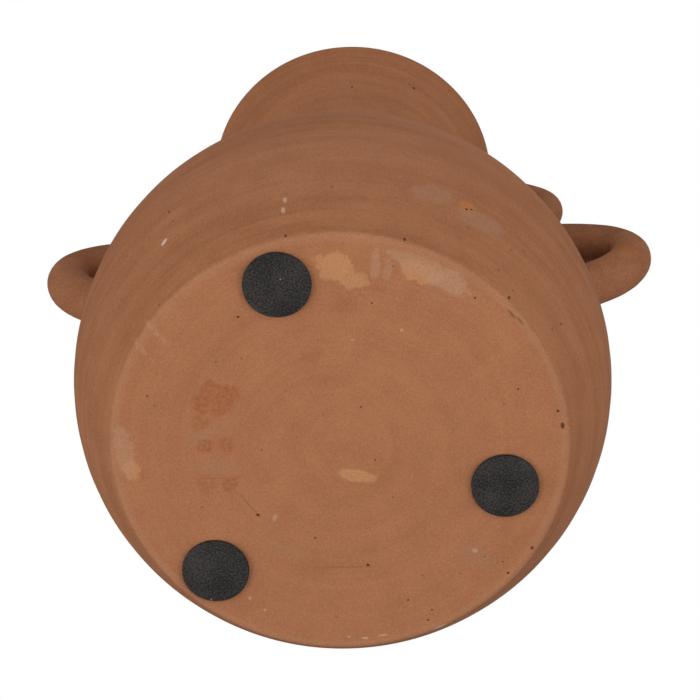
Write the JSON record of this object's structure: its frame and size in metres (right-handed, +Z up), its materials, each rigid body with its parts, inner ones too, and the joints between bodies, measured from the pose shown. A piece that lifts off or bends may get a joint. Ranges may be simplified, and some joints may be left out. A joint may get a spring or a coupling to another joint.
{
  "type": "amphora",
  "caption": "Unglazed terracotta amphora with a round belly on a wide flat foot, a flared neck, stacked loop handles on both sides and foam foot pads.",
  "frame": {"origin": "on the surface the jar stands on, under the middle of the foot and between the two sides' handles", "axes": "+Z up along the jar's axis, +X towards the right pair of handles, +Y to the back"},
  "size_m": [0.3162, 0.261, 0.3502],
  "materials": {
    "thrown_clay": "unglazed, wheel-thrown, wiped smooth",
    "handle_clay": "unglazed, rolled and smoothed by hand",
    "foot_foam": "matt foam, finely speckled",
    "adhesive": "pressure-sensitive adhesive film"
  },
  "bodies": {
    "root": {"body": "thrown_clay", "neck": "thrown_clay", "handle_lower_right": "handle_clay", "handle_lower_left": "handle_clay", "handle_upper_right": "handle_clay", "handle_upper_left": "handle_clay", "foot_pad_1": "foot_foam", "foot_pad_2": "foot_foam", "foot_pad_3": "foot_foam", "pad_adhesive_1": "adhesive", "pad_adhesive_2": "adhesive", "pad_adhesive_3": "adhesive"}
  },
  "joints": []
}
